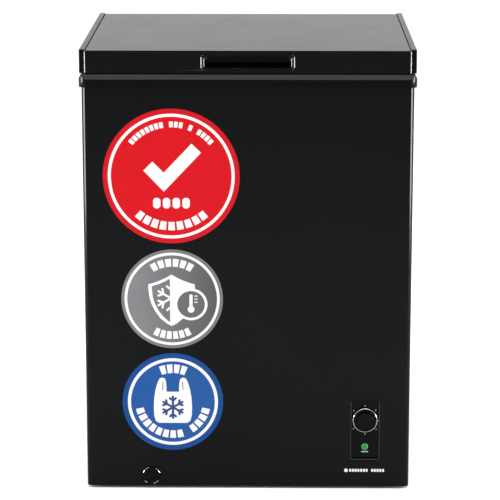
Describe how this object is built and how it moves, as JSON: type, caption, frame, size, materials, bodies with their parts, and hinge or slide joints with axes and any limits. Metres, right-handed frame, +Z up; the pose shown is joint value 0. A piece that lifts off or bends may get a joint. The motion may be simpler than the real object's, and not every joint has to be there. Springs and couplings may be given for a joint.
{
  "type": "chest freezer",
  "caption": "Compact black chest freezer with a sprung lift-up lid, front recessed handle, thermostat dial panel, front drain, sliding basket and a compressor bay at one end.",
  "frame": {"origin": "on the floor, under the middle of the freezer's overall box", "axes": "+Z up, -Y towards the person who opens the lid, +X to that person's right"},
  "size_m": [0.628, 0.56, 0.85],
  "materials": {
    "gloss_black_paint": "gloss",
    "black_plastic": "satin",
    "black_enamel": "satin",
    "zinc_steel": "satin",
    "pin_steel": "polished",
    "white_tank": "embossed, painted white",
    "white_plastic": "satin",
    "basket_coating": "vinyl coated wire",
    "foam": "rigid foam",
    "aluminium_tube": "drawn",
    "copper_tube": "drawn",
    "black_rubber": "matt",
    "grey_gasket": "matt",
    "green_lens": "clear tinted",
    "silver_foil": "satin foil",
    "red_vinyl": "printed vinyl",
    "grey_vinyl": "printed vinyl",
    "blue_vinyl": "printed vinyl"
  },
  "bodies": {
    "cabinet": {"cabinet_shell": "gloss_black_paint", "back_panel": "zinc_steel", "base_pan": "zinc_steel", "feet": "black_plastic", "top_collar": "black_plastic", "inner_liner": "white_tank", "foam_insulation": "foam", "evaporator_coil": "aluminium_tube", "condenser_coil": "copper_tube", "bay_partition": "zinc_steel", "compressor_base_plate": "zinc_steel", "compressor_shell": "black_enamel", "compressor_feet": "zinc_steel", "compressor_grommets": "black_rubber", "compressor_bolts": "zinc_steel", "relay_cover": "black_plastic", "refrigerant_lines": "copper_tube", "filter_drier": "copper_tube", "wiring": "white_plastic", "service_grille": "zinc_steel", "grille_screws": "zinc_steel", "cord_gland": "black_plastic", "rating_plate": "silver_foil", "control_bezel": "black_plastic", "thermostat_body": "white_plastic", "lamp_lens": "green_lens", "lamp_holder": "white_plastic", "drain_sleeve": "black_plastic", "drain_tube": "white_plastic", "drain_funnel": "white_plastic", "front_badge": "silver_foil", "sticker_red": "red_vinyl", "sticker_grey": "grey_vinyl", "sticker_blue": "blue_vinyl", "hinge_body_left": "zinc_steel", "hinge_body_right": "zinc_steel", "hinge_pin_left": "pin_steel", "hinge_pin_right": "pin_steel", "hinge_spring_left": "zinc_steel", "hinge_spring_right": "zinc_steel", "hinge_cover_left": "black_plastic", "hinge_cover_right": "black_plastic", "hinge_screws": "zinc_steel"},
    "lid": {"lid_skin": "gloss_black_paint", "lid_cap_left": "black_plastic", "lid_cap_right": "black_plastic", "lid_foam": "foam", "lid_liner": "white_plastic", "lid_gasket": "grey_gasket", "handle_pocket": "black_plastic", "hinge_arm_left": "zinc_steel", "hinge_arm_right": "zinc_steel", "arm_screws": "zinc_steel"},
    "dial": {"thermostat_knob": "black_plastic", "thermostat_shaft": "zinc_steel"},
    "drain_slide": {"drain_seal_ring": "black_rubber"},
    "drain_spout": {"drain_spout": "black_plastic", "drain_knob": "black_plastic"},
    "drain_plug": {"drain_plug": "black_rubber"},
    "basket": {"basket": "basket_coating"}
  },
  "joints": [
    {"name": "lid_hinge", "type": "hinge", "parent": "cabinet", "child": "lid", "pos_m": [0, 0.27, 0.806], "axis": [-1, 0, 0], "range_deg": [0, 80]},
    {"name": "dial_turn", "type": "hinge", "parent": "cabinet", "child": "dial", "pos_m": [0.224, -0.266, 0.137], "axis": [0, 1, 0], "range_deg": [-135, 135]},
    {"name": "drain_pull", "type": "slide", "parent": "cabinet", "child": "drain_slide", "axis": [0, -1, 0], "range_m": [0, 0.025]},
    {"name": "drain_turn", "type": "hinge", "parent": "drain_slide", "child": "drain_spout", "pos_m": [-0.185, -0.27, 0.027], "axis": [0, 1, 0], "range_deg": [0, 180]},
    {"name": "drain_plug_lift", "type": "slide", "parent": "cabinet", "child": "drain_plug", "axis": [0, 0, 1], "range_m": [0, 0.06]},
    {"name": "basket_slide", "type": "slide", "parent": "cabinet", "child": "basket", "axis": [1, 0, 0], "range_m": [0, 0.28]}
  ]
}
